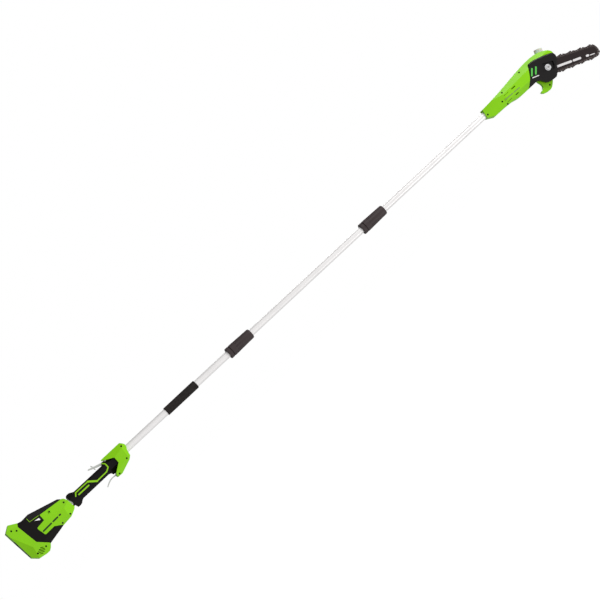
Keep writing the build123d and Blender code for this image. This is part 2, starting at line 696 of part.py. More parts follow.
with BuildPart() as head_shell_right:
    add(head_blank_right.part)
    add(head_openings.part, mode=Mode.SUBTRACT)
    add(cover_prism, mode=Mode.SUBTRACT)
    add(chamber, mode=Mode.SUBTRACT)
    add(disc(SPROCKET, (0, 0), SHAFT_R + 0.3, 5, 15), mode=Mode.SUBTRACT)
    add(screw_holes(HEAD_SCREWS, 40), mode=Mode.SUBTRACT)
    add(head_recesses(HEAD_SCREWS), mode=Mode.SUBTRACT)
    add(disc(Plane.XZ, CLAMP_SCREWS[0][:2], SCREW_R + 0.1, 10, 40), mode=Mode.SUBTRACT)
    add(head_recesses(CLAMP_SCREWS), mode=Mode.SUBTRACT)
    add(disc(TENSION, (0, 0), TENSION_R + 0.3, -15, 30), mode=Mode.SUBTRACT)
    add(disc(TENSION, (0, 0), TENSION_HEAD_R + 0.3, 21.7, 30), mode=Mode.SUBTRACT)
    with BuildSketch(BAR.offset(5)):
        with Locations((PIN_TRAVEL_SLOT / 2 - 3, TENSION_V)):
            SlotOverall(PIN_TRAVEL_SLOT, 4.6)
    extrude(amount=10, mode=Mode.SUBTRACT)
    with BuildSketch(Plane.XZ.offset(20)):
        for slot_centre, slot_length, slot_width in PANEL_SLOTS:
            with Locations(slot_centre):
                SlotOverall(slot_length, slot_width)
    extrude(amount=20, mode=Mode.SUBTRACT)

with BuildPart() as head_shell_left:
    add(shell_half(HEAD_OUTLINE, HEAD_HALF, HEAD_FACETS, HEAD_SCREWS))
    add(screw_holes(HEAD_SCREWS, 15), mode=Mode.SUBTRACT)
    mirror(about=Plane.XZ, mode=Mode.REPLACE)
    add(pipe(2100, 2270, TUBE_R), mode=Mode.SUBTRACT)
    add(disc(CAP_PLANE, (0, 0), NECK_R + 0.3, -12, 12), mode=Mode.SUBTRACT)

HOOK_OUTLINE = [
    (2419, -38), (2420, -45), (2422.5, -53), (2423.5, -60), (2421.5, -66), (2416.6, -71),
    (2410, -74.2), (2402, -76), (2404.5, -82), (2411, -86.5), (2424, -90.5), (2437, -91.5),
    (2446, -88.5), (2456, -81.5), (2464, -74), (2469.5, -66), (2472.5, -56), (2474, -38),
]
HOOK_SCREW = [(2445, -77.5, 7)]

with BuildPart() as limb_hook:
    add(prism(HOOK_OUTLINE, -6, 9))
    add(disc(Plane.XZ, HOOK_SCREW[0][:2], SCREW_R + 0.1, -10, 20), mode=Mode.SUBTRACT)
    add(head_recesses(HOOK_SCREW), mode=Mode.SUBTRACT)

# ---------------------------------------------------------------- bar cover, nut, plate
RECESS_OUTLINE = [(2468, -5), (2505, -23), (2499, -37), (2490, -46), (2479, -46), (2452, -29)]
RECESS_FLOOR = 27.0
COVER_EDGE_R = 5.0
COVER_BEVEL = facet((2411, -COVER_FACE, -12), (2461, -COVER_FACE, -37), (2450, -22, -70))
NUT_FLANGE_R = 11.5
NUT_CORNER_R = 9.0
STUD_R = 4.0
PLATE_FACE = 13.8
BAR_NEAR = BAR_DEPTH - 2.5 - BAR_THICK / 2
BAR_FAR = BAR_NEAR + BAR_THICK

with BuildPart() as cover_cavity:
    add(cover_block(PLATFORM - 1, COVER_FACE - WALL, -WALL))
    split(bisect_by=COVER_BEVEL.offset(-WALL), keep=Keep.BOTTOM)
    with BuildSketch(Plane.XZ.offset(RECESS_FLOOR - WALL)):
        Polygon(*RECESS_OUTLINE)
        offset(amount=WALL, kind=Kind.INTERSECTION)
    extrude(amount=20, mode=Mode.SUBTRACT)

with BuildPart() as bar_cover:
    add(cover_block(PLATFORM, COVER_FACE))
    fillet(bar_cover.faces().sort_by(Axis.Y)[0].edges(), radius=COVER_EDGE_R)
    split(bisect_by=COVER_BEVEL, keep=Keep.BOTTOM)
    add(cover_cavity.part, mode=Mode.SUBTRACT)
    add(prism(RECESS_OUTLINE, RECESS_FLOOR, 60), mode=Mode.SUBTRACT)
    add(disc(BAR, (0, 0), STUD_R + 0.4, 10, 40), mode=Mode.SUBTRACT)
    add(chamber, mode=Mode.SUBTRACT)
    with BuildSketch(BAR.offset(PLATFORM - 1)):
        with Locations((60, 0)):
            Rectangle(160, 68)
    extrude(amount=CHAMBER_DEPTH - PLATFORM + 1, mode=Mode.SUBTRACT)

with BuildPart() as bar_plate:
    with BuildSketch(BAR.offset(PLATFORM)):
        with Locations((6, 0)):
            RectangleRounded(44, 22, 5)
    extrude(amount=PLATE_FACE - PLATFORM)
    add(disc(BAR, (0, 0), 6.5, PLATE_FACE, BAR_NEAR - CLEAR))
    add(disc(BAR, (0, 0), STUD_R, PLATE_FACE, COVER_FACE - 1))

with BuildPart() as bar_nut:
    add(disc(BAR, (0, 0), NUT_FLANGE_R, RECESS_FLOOR + CLEAR, RECESS_FLOOR + 2.3))
    with BuildSketch(BAR.offset(RECESS_FLOOR + 2.3)):
        RegularPolygon(NUT_CORNER_R, 6)
    extrude(amount=5)
    add(disc(BAR, (0, 0), STUD_R + 0.06, 20, 40), mode=Mode.SUBTRACT)

# ---------------------------------------------------------------- guide bar and chain
PATH_CORNERS = [
    (-SPROCKET_BACK - CHAIN_R, -CHAIN_R - 0.1), (5, -BAR_WAIST), (BAR_NOSE, -CHAIN_R - 0.5),
    (BAR_NOSE, CHAIN_R + 0.5), (5, BAR_WAIST), (-SPROCKET_BACK - CHAIN_R, CHAIN_R + 0.1),
]
PATH_RADII = [CHAIN_R - 0.1, 150, CHAIN_R, CHAIN_R, 150, CHAIN_R - 0.1]
RAIL = STRAP_HALF + 0.4
NOSE_CENTRE = (BAR_NOSE - CHAIN_R, 0)
BAR_CORNERS = [
    (-40, -9), (-32, -BAR_WAIST + RAIL + 3), (5, -BAR_WAIST + RAIL),
    (BAR_NOSE - RAIL, -CHAIN_R - 0.5 + RAIL), (BAR_NOSE - RAIL, CHAIN_R + 0.5 - RAIL),
    (5, BAR_WAIST - RAIL), (-32, BAR_WAIST - RAIL - 3), (-40, 9),
]
BAR_RADII = [3, 4, 150, CHAIN_R - RAIL, CHAIN_R - RAIL, 150, 4, 3]
GROOVE_DEPTH = 4.2
GROOVE_WIDTH = 1.6
NOSE_SPROCKET_R = CHAIN_R - TANG_DEPTH - 0.5

with BuildPart() as guide_bar:
    with BuildSketch(BAR.offset(BAR_NEAR)):
        with BuildLine():
            FilletPolyline(*BAR_CORNERS, radius=BAR_RADII, close=True)
        make_face()
    extrude(amount=BAR_THICK)
    with BuildSketch(BAR.offset(BAR_NEAR)):
        with Locations((3, 0)):
            SlotOverall(20, 2 * STUD_R + 0.8)
        with Locations((0, TENSION_V)):
            Circle(2.0)
    extrude(amount=BAR_THICK, mode=Mode.SUBTRACT)
    with BuildSketch(BAR.offset(BAR_NEAR + (BAR_THICK - GROOVE_WIDTH) / 2)):
        with BuildLine():
            FilletPolyline(*BAR_CORNERS, radius=BAR_RADII, close=True)
        make_face()
        offset(amount=-GROOVE_DEPTH, mode=Mode.SUBTRACT)
        with Locations(NOSE_CENTRE):
            Circle(NOSE_SPROCKET_R + 0.4)
            Circle(3.0, mode=Mode.SUBTRACT)
    extrude(amount=GROOVE_WIDTH, mode=Mode.SUBTRACT)

with BuildPart() as nose_sprocket:
    with BuildSketch(BAR.offset(BAR_NEAR + BAR_THICK / 2 - 0.55)):
        with Locations(NOSE_CENTRE):
            Circle(NOSE_SPROCKET_R - 2.5)
            with PolarLocations(NOSE_SPROCKET_R - 2.7, 9):
                Rectangle(5, 2.6)
            Circle(3.06, mode=Mode.SUBTRACT)
    extrude(amount=1.1)

with BuildLine() as chain_path:
    FilletPolyline(*PATH_CORNERS, radius=PATH_RADII, close=True)
chain_wire = chain_path.wires()[0]
LINK_COUNT = round(chain_wire.length / CHAIN_LINK)
CHAIN_MIDDLE = BAR_NEAR + BAR_THICK / 2
LINK_HALF = 0.65
STRAP_THICK = 1.3
DRIVE_LINK = [
    (-8.2, -2.6), (-3, -TANG_DEPTH), (3, -TANG_DEPTH), (8.2, -2.6), (8.2, 3), (4, 3),
    (1.5, 5.2), (-3.5, 5.2), (-6, 3), (-8.2, 3),
]
STRAP = [
    (-7.8, -2), (-6.4, -STRAP_HALF), (6.4, -STRAP_HALF), (7.8, -2), (7.8, 1.6), (6, 3.4),
    (-6, 3.4), (-7.8, 1.6),
]
CUTTER = [
    (-7.8, -2), (-6.4, -STRAP_HALF), (6.4, -STRAP_HALF), (7.8, -2), (7.6, 5.2), (5.6, 6.4),
    (4, 5.6), (2.8, 2.6), (0.6, 2.6), (-0.6, 7.6), (-7.4, 6.6),
]
TOP_PLATE = [(-7.4, 5.4), (-0.6, 6.4), (-0.6, 7.6), (-7.4, 6.6)]


def chain_frame(station):
    """Place on the bar plane of a point a given number of links along the chain."""
    share = (station % LINK_COUNT) / LINK_COUNT
    point = chain_wire.position_at(share)
    tangent = chain_wire.tangent_at(share)
    outward = Vector(tangent.Y, -tangent.X)
    if outward.dot(point - Vector(60, 0)) < 0:
        outward = outward * -1
    along = Vector(outward.Y, -outward.X)
    return Location((point.X, point.Y, 0), (0, 0, math.degrees(math.atan2(along.Y, along.X))))


def chain_plates(outline, stations, start, end):
    """Flat chain links at the given stations, between two depths."""
    with BuildPart() as plates:
        with BuildSketch(BAR.offset(start)):
            for station in stations:
                with Locations(chain_frame(station)):
                    Polygon(*outline)
        extrude(amount=end - start)
    return plates.part


right_cutters = [n + 0.5 for n in range(0, LINK_COUNT, 4)]
left_cutters = [n + 0.5 for n in range(2, LINK_COUNT, 4)]
every_joint = [n + 0.5 for n in range(LINK_COUNT)]
right_start = CHAIN_MIDDLE + LINK_HALF
left_end = CHAIN_MIDDLE - LINK_HALF

with BuildPart() as chain_drive_links:
    add(chain_plates(DRIVE_LINK, range(LINK_COUNT), left_end, right_start))

with BuildPart() as chain_straps:
    right_straps = [station for station in every_joint if station not in right_cutters]
    left_straps = [station for station in every_joint if station not in left_cutters]
    add(chain_plates(STRAP, right_straps, right_start, right_start + STRAP_THICK))
    add(chain_plates(STRAP, left_straps, left_end - STRAP_THICK, left_end))

with BuildPart() as chain_cutters:
    add(chain_plates(CUTTER, right_cutters, right_start, right_start + STRAP_THICK))
    add(chain_plates(TOP_PLATE, right_cutters, right_start - 2.4, right_start))
    add(chain_plates(CUTTER, left_cutters, left_end - STRAP_THICK, left_end))
    add(chain_plates(TOP_PLATE, left_cutters, left_end, left_end + 2.4))

with BuildPart() as tension_screw:
    add(disc(TENSION, (0, 0), TENSION_R, -14, 22))
    add(disc(TENSION, (0, 0), TENSION_HEAD_R, 22, 25))

with BuildPart() as tension_carriage:
    with BuildSketch(BAR.offset(2.6)):
        with Locations((0, TENSION_V)):
            Rectangle(8, 8)
    extrude(amount=6.8)
    add(disc(BAR, (0, TENSION_V), 1.8, 9.4, BAR_FAR))
    add(disc(TENSION, (0, 0), TENSION_R + 0.06, -20, 20), mode=Mode.SUBTRACT)

# ---------------------------------------------------------------- motor and gears
MODULE = 1.5
GEAR_TEETH = 33
PINION_TEETH = 11
GEAR_NEAR = 3.6
GEAR_FAR = 9.2
MOTOR_X = SPROCKET_X - MODULE * (GEAR_TEETH + PINION_TEETH) / 2
MOTOR = Plane(origin=(MOTOR_X, 0, SPROCKET_Z), x_dir=(1, 0, 0), z_dir=(0, -1, 0))
MOTOR_R = 20.0
ROTOR_SHAFT_R = 3.0

with BuildPart() as motor_case:
    add(disc(MOTOR, (0, 0), MOTOR_R, -20, 2))
    add(disc(MOTOR, (0, 0), MOTOR_R - 2.5, -18, 0), mode=Mode.SUBTRACT)
    add(disc(MOTOR, (0, 0), ROTOR_SHAFT_R + 0.06, -1, 5), mode=Mode.SUBTRACT)

with BuildPart() as motor_rotor:
    add(disc(MOTOR, (0, 0), MOTOR_R - 3.1, -17.4, -0.6))
    add(disc(MOTOR, (0, 0), ROTOR_SHAFT_R, -0.6, GEAR_FAR))
    with BuildSketch(MOTOR.offset(GEAR_NEAR - 0.3)):
        Polygon(*gear_outline(PINION_TEETH, MODULE, math.pi / PINION_TEETH))
    extrude(amount=GEAR_FAR - GEAR_NEAR + 0.3)

with BuildPart() as drive_gear:
    with BuildSketch(SPROCKET.offset(GEAR_NEAR)):
        Polygon(*gear_outline(GEAR_TEETH, MODULE, math.pi))
    extrude(amount=GEAR_FAR - GEAR_NEAR)
    add(disc(SPROCKET, (0, 0), SHAFT_R, -6, 24))

with BuildPart() as drive_sprocket:
    with BuildSketch(SPROCKET.offset(BAR_NEAR)):
        Circle(7.5)
        with PolarLocations(7.6, 6):
            Rectangle(3.2, 3.4)
        Circle(SHAFT_R, mode=Mode.SUBTRACT)
    extrude(amount=BAR_THICK)

# ---------------------------------------------------------------- oil tank and pump
TANK_OUTLINE = [(2459, 60), (2540, 60), (2540, -60), (2459, -60)]

TANK_LID = [
    (2459.5, 33), (2484, 29.5), (2506, 18.5), (2520, 6), (2518, -9), (2501, -30), (2474, -34),
    (2459.5, -34),
]
TANK_GAP = 0.4
CAP_R = 15.3
CAP_RIBS = 20
CAP_HEIGHT = 15.5

with BuildPart() as oil_tank:
    add(solid_half(HEAD_OUTLINE, HEAD_HALF, HEAD_FACETS, WALL + TANK_GAP))
    add(solid_half(HEAD_OUTLINE, HEAD_HALF, HEAD_FACETS, WALL + TANK_GAP + 1.6), mode=Mode.SUBTRACT)
    mirror(about=Plane.XZ, mode=Mode.REPLACE)
    add(prism(TANK_OUTLINE, -40, -1.5), mode=Mode.INTERSECT)
    add(prism(TANK_LID, -3.1, -1.5))
    add(disc(CAP_PLANE, (0, 0), NECK_R, -14, 7))
    add(disc(CAP_PLANE, (0, 0), NECK_R - 2, -18, 10), mode=Mode.SUBTRACT)

with BuildPart() as oil_cap:
    with BuildSketch(CAP_PLANE.offset(7.3)):
        Circle(CAP_R)
        with PolarLocations(CAP_R, CAP_RIBS):
            Circle(0.9, mode=Mode.SUBTRACT)
    extrude(amount=CAP_HEIGHT)
    fillet(oil_cap.faces().sort_by(Axis.Z)[-1].edges(), radius=0.8)
    add(disc(CAP_PLANE, (0, 0), NECK_R - 2.06, -2, 7.3))

with BuildPart() as oil_pump:
    with BuildSketch(MOTOR.offset(-18)):
        with Locations((33, -18)):
            Rectangle(16, 10)
    extrude(amount=10)

# ---------------------------------------------------------------- springs, switch, screws
with BuildPart() as switch_block:
    add(prism([(366, -19.6), (386, -19.6), (386, -13.2), (366, -13.2)], -5, 5))

with BuildPart() as control_springs:
    add(disc(Plane.XZ, TRIGGER_PIN, 3.0, 6.5, 10.5, PIN_RADIUS))
    add(disc(Plane.XZ, LEVER_PIN, 3.0, 5.2, 8.4, PIN_RADIUS))

with BuildPart() as handle_screws:
    add(screw_set(BASE_SCREWS, 10))
    add(screw_set(BODY_SCREWS[1:], 10))
    add(screw_set(BODY_SCREWS[:1], -TUBE_R / 2 - 2))
    add(screw_set(GUARD_SCREWS, 10))
    add(screw_set(COLLAR_SCREW, -1))

with BuildPart() as head_screws:
    add(screw_set(HEAD_SCREWS, 10))
    add(screw_set(CLAMP_SCREWS, -12.4))
    add(screw_set(HOOK_SCREW, 4))

# ---------------------------------------------------------------- write every piece
PIECES = {
    "base_shell_right": base_shell_right,
    "base_shell_left": base_shell_left,
    "body_shell_right": body_shell_right,
    "body_shell_left": body_shell_left,
    "side_panel_right": side_panel_right,
    "side_panel_left": side_panel_left,
    "handle_overmould": handle_overmould,
    "battery_bay": battery_bay,
    "bay_contacts": bay_contacts,
    "battery_case": battery_case,
    "battery_release": battery_release,
    "control_board": control_board,
    "lower_tube": lower_tube,
    "middle_tube": middle_tube,
    "upper_tube": upper_tube,
    "cable_conduit": cable_conduit,
    "foam_grip": foam_grip,
    "lower_ferrule": lower_ferrule,
    "lower_sleeve": lower_sleeve,
    "upper_ferrule": upper_ferrule,
    "upper_sleeve": upper_sleeve,
    "lower_socket": lower_socket,
    "lower_plug": lower_plug,
    "upper_socket": upper_socket,
    "upper_plug": upper_plug,
    "lower_wire": lower_wire,
    "middle_wire": middle_wire,
    "upper_wire": upper_wire,
    "grip_shell_right": grip_shell_right,
    "grip_shell_left": grip_shell_left,
    "grip_inlays": grip_inlays,
    "guard_shell_right": guard_shell_right,
    "guard_shell_left": guard_shell_left,
    "trigger": trigger,
    "lockoff_lever": lockoff_lever,
    "control_pins": control_pins,
    "control_springs": control_springs,
    "switch_block": switch_block,
    "head_shell_right": head_shell_right,
    "head_shell_left": head_shell_left,
    "limb_hook": limb_hook,
    "bar_cover": bar_cover,
    "bar_plate": bar_plate,
    "bar_nut": bar_nut,
    "guide_bar": guide_bar,
    "nose_sprocket": nose_sprocket,
    "chain_drive_links": chain_drive_links,
    "chain_straps": chain_straps,
    "chain_cutters": chain_cutters,
    "tension_screw": tension_screw,
    "tension_carriage": tension_carriage,
    "motor_case": motor_case,
    "motor_rotor": motor_rotor,
    "drive_gear": drive_gear,
    "drive_sprocket": drive_sprocket,
    "oil_tank": oil_tank,
    "oil_cap": oil_cap,
    "oil_pump": oil_pump,
    "handle_screws": handle_screws,
    "head_screws": head_screws,
}

# What sits in a pocket of the same size in a housing.
SEATS = {
    "grip_shell_right": [control_pins, control_springs],
    "grip_shell_left": [control_pins, control_springs],
    "guard_shell_right": [control_pins, control_springs],
    "guard_shell_left": [control_pins, control_springs],
    "head_shell_left": [oil_pump],
}

os.makedirs("parts", exist_ok=True)
for name, piece in PIECES.items():
    for seated in SEATS.get(name, []):
        with piece:
            add(seated.part, mode=Mode.SUBTRACT)
    piece.part.label = name
    export_step(piece.part, f"parts/{name}.step")
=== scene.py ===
"""Look of the battery pole saw: camera, light, materials and the pieces that Blender adds."""
import json
import math

import bmesh
import bpy
from mathutils import Matrix, Vector
from mathutils import noise as field
from mathutils.bvhtree import BVHTree


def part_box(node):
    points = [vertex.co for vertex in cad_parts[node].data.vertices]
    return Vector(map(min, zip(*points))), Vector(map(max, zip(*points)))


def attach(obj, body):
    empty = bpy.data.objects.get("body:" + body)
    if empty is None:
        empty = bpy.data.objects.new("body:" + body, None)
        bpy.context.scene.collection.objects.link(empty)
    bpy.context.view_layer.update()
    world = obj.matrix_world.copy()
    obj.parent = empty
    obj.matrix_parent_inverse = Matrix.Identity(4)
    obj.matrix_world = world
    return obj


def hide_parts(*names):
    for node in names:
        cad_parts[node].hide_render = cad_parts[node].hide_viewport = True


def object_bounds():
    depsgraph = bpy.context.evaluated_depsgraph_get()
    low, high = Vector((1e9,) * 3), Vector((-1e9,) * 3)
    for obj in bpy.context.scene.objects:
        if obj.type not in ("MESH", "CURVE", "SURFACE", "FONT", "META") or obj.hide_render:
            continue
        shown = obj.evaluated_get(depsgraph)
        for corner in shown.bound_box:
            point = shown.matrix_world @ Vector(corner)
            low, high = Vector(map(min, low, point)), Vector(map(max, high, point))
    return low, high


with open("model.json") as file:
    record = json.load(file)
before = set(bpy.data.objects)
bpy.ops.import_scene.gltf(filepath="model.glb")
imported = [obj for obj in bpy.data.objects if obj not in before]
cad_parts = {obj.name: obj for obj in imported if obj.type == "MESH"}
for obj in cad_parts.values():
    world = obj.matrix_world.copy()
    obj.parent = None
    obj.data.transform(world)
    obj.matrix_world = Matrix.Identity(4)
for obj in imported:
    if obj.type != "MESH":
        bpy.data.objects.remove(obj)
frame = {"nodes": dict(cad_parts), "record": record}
cad_low, cad_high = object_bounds()
nodes = frame["nodes"]
record = frame["record"]
MM = 0.001


# ---------------------------------------------------------------- camera, floor and light
FOCUS = Vector((1.268, 0.0, -0.032))
CAMERA_DISTANCE = 9.0
BATTERY_END_NEARER = math.radians(11.5)
SHAFT_RISE = math.radians(43.0)
LENS = 157.9
FLOOR_SIZE = 60.0
FLOOR_DROP = 0.6
FLOOR_GREY = 0.6
FLOOR_ROUGHNESS = 0.9
FLOOR_GLOW = 0.95
SKY_SEEN = 1.0
SKY_DARK = 0.06
SKY_BRIGHT = 0.90
BRIGHT_SIDE = Vector((0.60, -0.60, -0.52)).normalized()
MIDDLE = Vector((1.3, 0, 0))
LAMP_DISTANCE = 8.0
# Each lamp's direction from the tool, the side of its square, and its power in watts.
LAMPS = {
    "key": ((0.62, -0.45, 0.64), 3.6, 330),
    "low": ((0.45, -0.52, -0.70), 3.2, 80),
    "rear": ((0.40, 0.80, 0.45), 4.0, 150),
}


def aim(location, target, roll=0.0):
    """Placement of a camera or lamp that looks at a target, turned about its own view line."""
    forward = (target - location).normalized()
    right = forward.cross(Vector((0, 0, 1))).normalized()
    up = right.cross(forward)
    turned_right = math.cos(roll) * right - math.sin(roll) * up
    turned_up = math.sin(roll) * right + math.cos(roll) * up
    rotation = Matrix((turned_right, turned_up, -forward)).transposed()
    return Matrix.Translation(location) @ rotation.to_4x4()


def place_camera():
    """The reference viewing angle: from the right, the battery end a little nearer."""
    away = Vector((-math.sin(BATTERY_END_NEARER), -math.cos(BATTERY_END_NEARER), 0))
    data = bpy.data.cameras.new("camera")
    data.lens = LENS
    camera = bpy.data.objects.new("camera", data)
    bpy.context.scene.collection.objects.link(camera)
    camera.matrix_world = aim(FOCUS + CAMERA_DISTANCE * away, FOCUS, SHAFT_RISE)
    bpy.context.scene.camera = camera


def lamp(name, direction, size, power):
    """A square soft box that looks at the middle of the tool from a direction."""
    data = bpy.data.lights.new(name, "AREA")
    data.shape = "SQUARE"
    data.size = size
    data.energy = power
    light = bpy.data.objects.new(name, data)
    bpy.context.scene.collection.objects.link(light)
    light.matrix_world = aim(MIDDLE + LAMP_DISTANCE * Vector(direction).normalized(), MIDDLE)


def light_studio():
    """White surroundings, brightest from the front right and below, and three broad lamps."""
    world = bpy.data.worlds.new("studio")
    bpy.context.scene.world = world
    world.use_nodes = True
    tree = world.node_tree
    background = tree.nodes["Background"]
    coordinates = tree.nodes.new("ShaderNodeTexCoord")
    facing = tree.nodes.new("ShaderNodeVectorMath")
    facing.operation = "DOT_PRODUCT"
    facing.inputs[1].default_value = BRIGHT_SIDE
    level = tree.nodes.new("ShaderNodeMapRange")
    level.inputs["From Min"].default_value = -1.0
    level.inputs["To Min"].default_value = SKY_DARK
    level.inputs["To Max"].default_value = SKY_BRIGHT
    seen = tree.nodes.new("ShaderNodeLightPath")
    choose = tree.nodes.new("ShaderNodeMix")
    choose.inputs["B"].default_value = SKY_SEEN
    tree.links.new(coordinates.outputs["Generated"], facing.inputs[0])
    tree.links.new(facing.outputs["Value"], level.inputs["Value"])
    tree.links.new(seen.outputs["Is Camera Ray"], choose.inputs["Factor"])
    tree.links.new(level.outputs["Result"], choose.inputs["A"])
    tree.links.new(choose.outputs["Result"], background.inputs["Strength"])
    background.inputs["Color"].default_value = (1, 1, 1, 1)
    for name, (direction, size, power) in LAMPS.items():
        lamp(name, direction, size, power)


def lay_floor():
    """A wide pale floor under the tool that neither lights nor shades it."""
    place = (MIDDLE.x, 0, cad_low.z - FLOOR_DROP)
    bpy.ops.mesh.primitive_plane_add(size=FLOOR_SIZE, location=place)
    floor = bpy.context.object
    floor.name = "floor"
    floor.visible_diffuse = False
    floor.visible_glossy = False
    floor.visible_shadow = False
    material = bpy.data.materials.new("floor_paint")
    material.use_nodes = True
    shader = material.node_tree.nodes["Principled BSDF"]
    shader.inputs["Base Color"].default_value = (FLOOR_GREY, FLOOR_GREY, FLOOR_GREY, 1)
    shader.inputs["Roughness"].default_value = FLOOR_ROUGHNESS
    shader.inputs["Emission Color"].default_value = (1, 1, 1, 1)
    shader.inputs["Emission Strength"].default_value = FLOOR_GLOW
    material.cycles.emission_sampling = "NONE"
    floor.data.materials.append(material)


# ---------------------------------------------------------------- materials
# The scale of a noise is in cycles per metre, and a strength of relief runs from 0 to 1.
PLASTIC_IOR = 1.46
FLOW_SCALE = 9
FLOW_LIGHTEST = 1.03
GLOSS_SCALE = 45
GLOSSIEST, DULLEST = 0.88, 1.15
GRAIN_DEPTH = 0.04 * MM
SINK_SCALE = 40
SINK_STRENGTH = 0.08
SINK_DEPTH = 0.2 * MM
STAIN_SCALE = 14
STAIN_DARKEST = 0.92
METAL_GLOSSIEST = 0.85
POLISH_DEPTH = 0.03 * MM
FOAM_DARK, FOAM_LIGHT = (0.016, 0.013, 0.0125), (0.030, 0.025, 0.023)
FOAM_ROUGHNESS = 0.92
FOAM_GLOSS_LEVEL = 0.2
FOAM_PATCH_SCALE = 120
CELL_SCALE = 900
CELL_STRENGTH = 0.35
CELL_DEPTH = 0.3 * MM
CREASE_SCALE = 60
CREASE_STRENGTH = 0.2
CREASE_DEPTH = 0.5 * MM
CLOUD_SCALE = 30
CLOUD_DARKEST = 0.95
CLOUD_SCATTER = 0.3
CLOUD_REACH = 4 * MM


def new_material(name):
    """A node material, with its tree and its shader."""
    material = bpy.data.materials.new(name)
    material.use_nodes = True
    tree = material.node_tree
    return material, tree, tree.nodes["Principled BSDF"]


def node(tree, kind, **values):
    """A shader node with its sockets or settings set by name."""
    made = tree.nodes.new(kind)
    for key, value in values.items():
        if key in made.inputs:
            made.inputs[key].default_value = value
        else:
            setattr(made, key, value)
    return made


def noise(tree, scale, detail=3.0, stretch=(1, 1, 1)):
    """Noise in object space, so that its size is real."""
    place = node(tree, "ShaderNodeTexCoord")
    mapping = node(tree, "ShaderNodeMapping")
    mapping.inputs["Scale"].default_value = stretch
    made = node(tree, "ShaderNodeTexNoise", Scale=scale, Detail=detail)
    tree.links.new(place.outputs["Object"], mapping.inputs[0])
    tree.links.new(mapping.outputs[0], made.inputs["Vector"])
    return made.outputs["Fac"]


def ramped(tree, source, low, high, start=0.3, end=0.7):
    """Maps a noise to a pair of colours or greys."""
    ramp = node(tree, "ShaderNodeValToRGB")
    ramp.color_ramp.elements[0].position = start
    ramp.color_ramp.elements[1].position = end
    for element, value in zip(ramp.color_ramp.elements, (low, high)):
        element.color = (*value, 1) if isinstance(value, tuple) else (value, value, value, 1)
    tree.links.new(source, ramp.inputs[0])
    return ramp.outputs[0]


def bump(tree, shader, source, strength, distance):
    """Adds relief to a shader, on top of any relief that it has already."""
    made = node(tree, "ShaderNodeBump", Strength=strength, Distance=distance)
    tree.links.new(source, made.inputs["Height"])
    before = shader.inputs["Normal"].links
    if before:
        tree.links.new(before[0].from_socket, made.inputs["Normal"])
    tree.links.new(made.outputs[0], shader.inputs["Normal"])


def shade(colour, factor):
    """A colour made darker or lighter by a factor."""
    return tuple(min(1.0, c * factor) for c in colour)


def moulded(name, colour, roughness=0.45, grain=2400, relief=0.12, mottle=0.93, gloss_level=0.35):
    """Injection-moulded plastic: spark-eroded grain, faint flow marks, uneven gloss."""
    material, tree, shader = new_material(name)
    flow = noise(tree, FLOW_SCALE, 4)
    tone = ramped(tree, flow, shade(colour, mottle), shade(colour, FLOW_LIGHTEST))
    patches = noise(tree, GLOSS_SCALE, 5)
    gloss = ramped(tree, patches, roughness * GLOSSIEST, min(1.0, roughness * DULLEST))
    tree.links.new(tone, shader.inputs["Base Color"])
    tree.links.new(gloss, shader.inputs["Roughness"])
    shader.inputs["IOR"].default_value = PLASTIC_IOR
    shader.inputs["Specular IOR Level"].default_value = gloss_level
    bump(tree, shader, noise(tree, grain, 2), relief, GRAIN_DEPTH)
    bump(tree, shader, noise(tree, SINK_SCALE, 2), SINK_STRENGTH, SINK_DEPTH)
    return material


def metal(name, colour, roughness, stretch=(1, 1, 1), grain=900, relief=0.05, metallic=1.0):
    """Worked metal, its grain drawn out along one axis."""
    material, tree, shader = new_material(name)
    lines = noise(tree, grain, 3, stretch)
    tone = ramped(tree, noise(tree, STAIN_SCALE, 4), shade(colour, STAIN_DARKEST), colour)
    gloss = ramped(tree, lines, roughness * METAL_GLOSSIEST, roughness * DULLEST)
    tree.links.new(tone, shader.inputs["Base Color"])
    tree.links.new(gloss, shader.inputs["Roughness"])
    shader.inputs["Metallic"].default_value = metallic
    bump(tree, shader, lines, relief, POLISH_DEPTH)
    return material


def foam_material():
    """Closed-cell foam: small cells, no gloss."""
    material, tree, shader = new_material("foam_cells")
    place = node(tree, "ShaderNodeTexCoord")
    cells = node(tree, "ShaderNodeTexVoronoi", Scale=CELL_SCALE)
    tree.links.new(place.outputs["Object"], cells.inputs["Vector"])
    tone = ramped(tree, noise(tree, FOAM_PATCH_SCALE, 5), FOAM_DARK, FOAM_LIGHT)
    tree.links.new(tone, shader.inputs["Base Color"])
    shader.inputs["Roughness"].default_value = FOAM_ROUGHNESS
    shader.inputs["Specular IOR Level"].default_value = FOAM_GLOSS_LEVEL
    bump(tree, shader, cells.outputs["Distance"], CELL_STRENGTH, CELL_DEPTH)
    bump(tree, shader, noise(tree, CREASE_SCALE, 4), CREASE_STRENGTH, CREASE_DEPTH)
    return material


def translucent(name, colour, transmission, roughness):
    """Cloudy plastic that lets some light through."""
    material, tree, shader = new_material(name)
    tone = ramped(tree, noise(tree, CLOUD_SCALE, 3), shade(colour, CLOUD_DARKEST), colour)
    gloss = ramped(tree, noise(tree, 200, 3), roughness * 0.9, roughness * 1.1)
    tree.links.new(tone, shader.inputs["Base Color"])
    tree.links.new(gloss, shader.inputs["Roughness"])
    shader.inputs["Transmission Weight"].default_value = transmission
    shader.inputs["Subsurface Weight"].default_value = CLOUD_SCATTER
    shader.inputs["Subsurface Scale"].default_value = CLOUD_REACH
    bump(tree, shader, noise(tree, 900, 2), 0.05, POLISH_DEPTH)
    return material


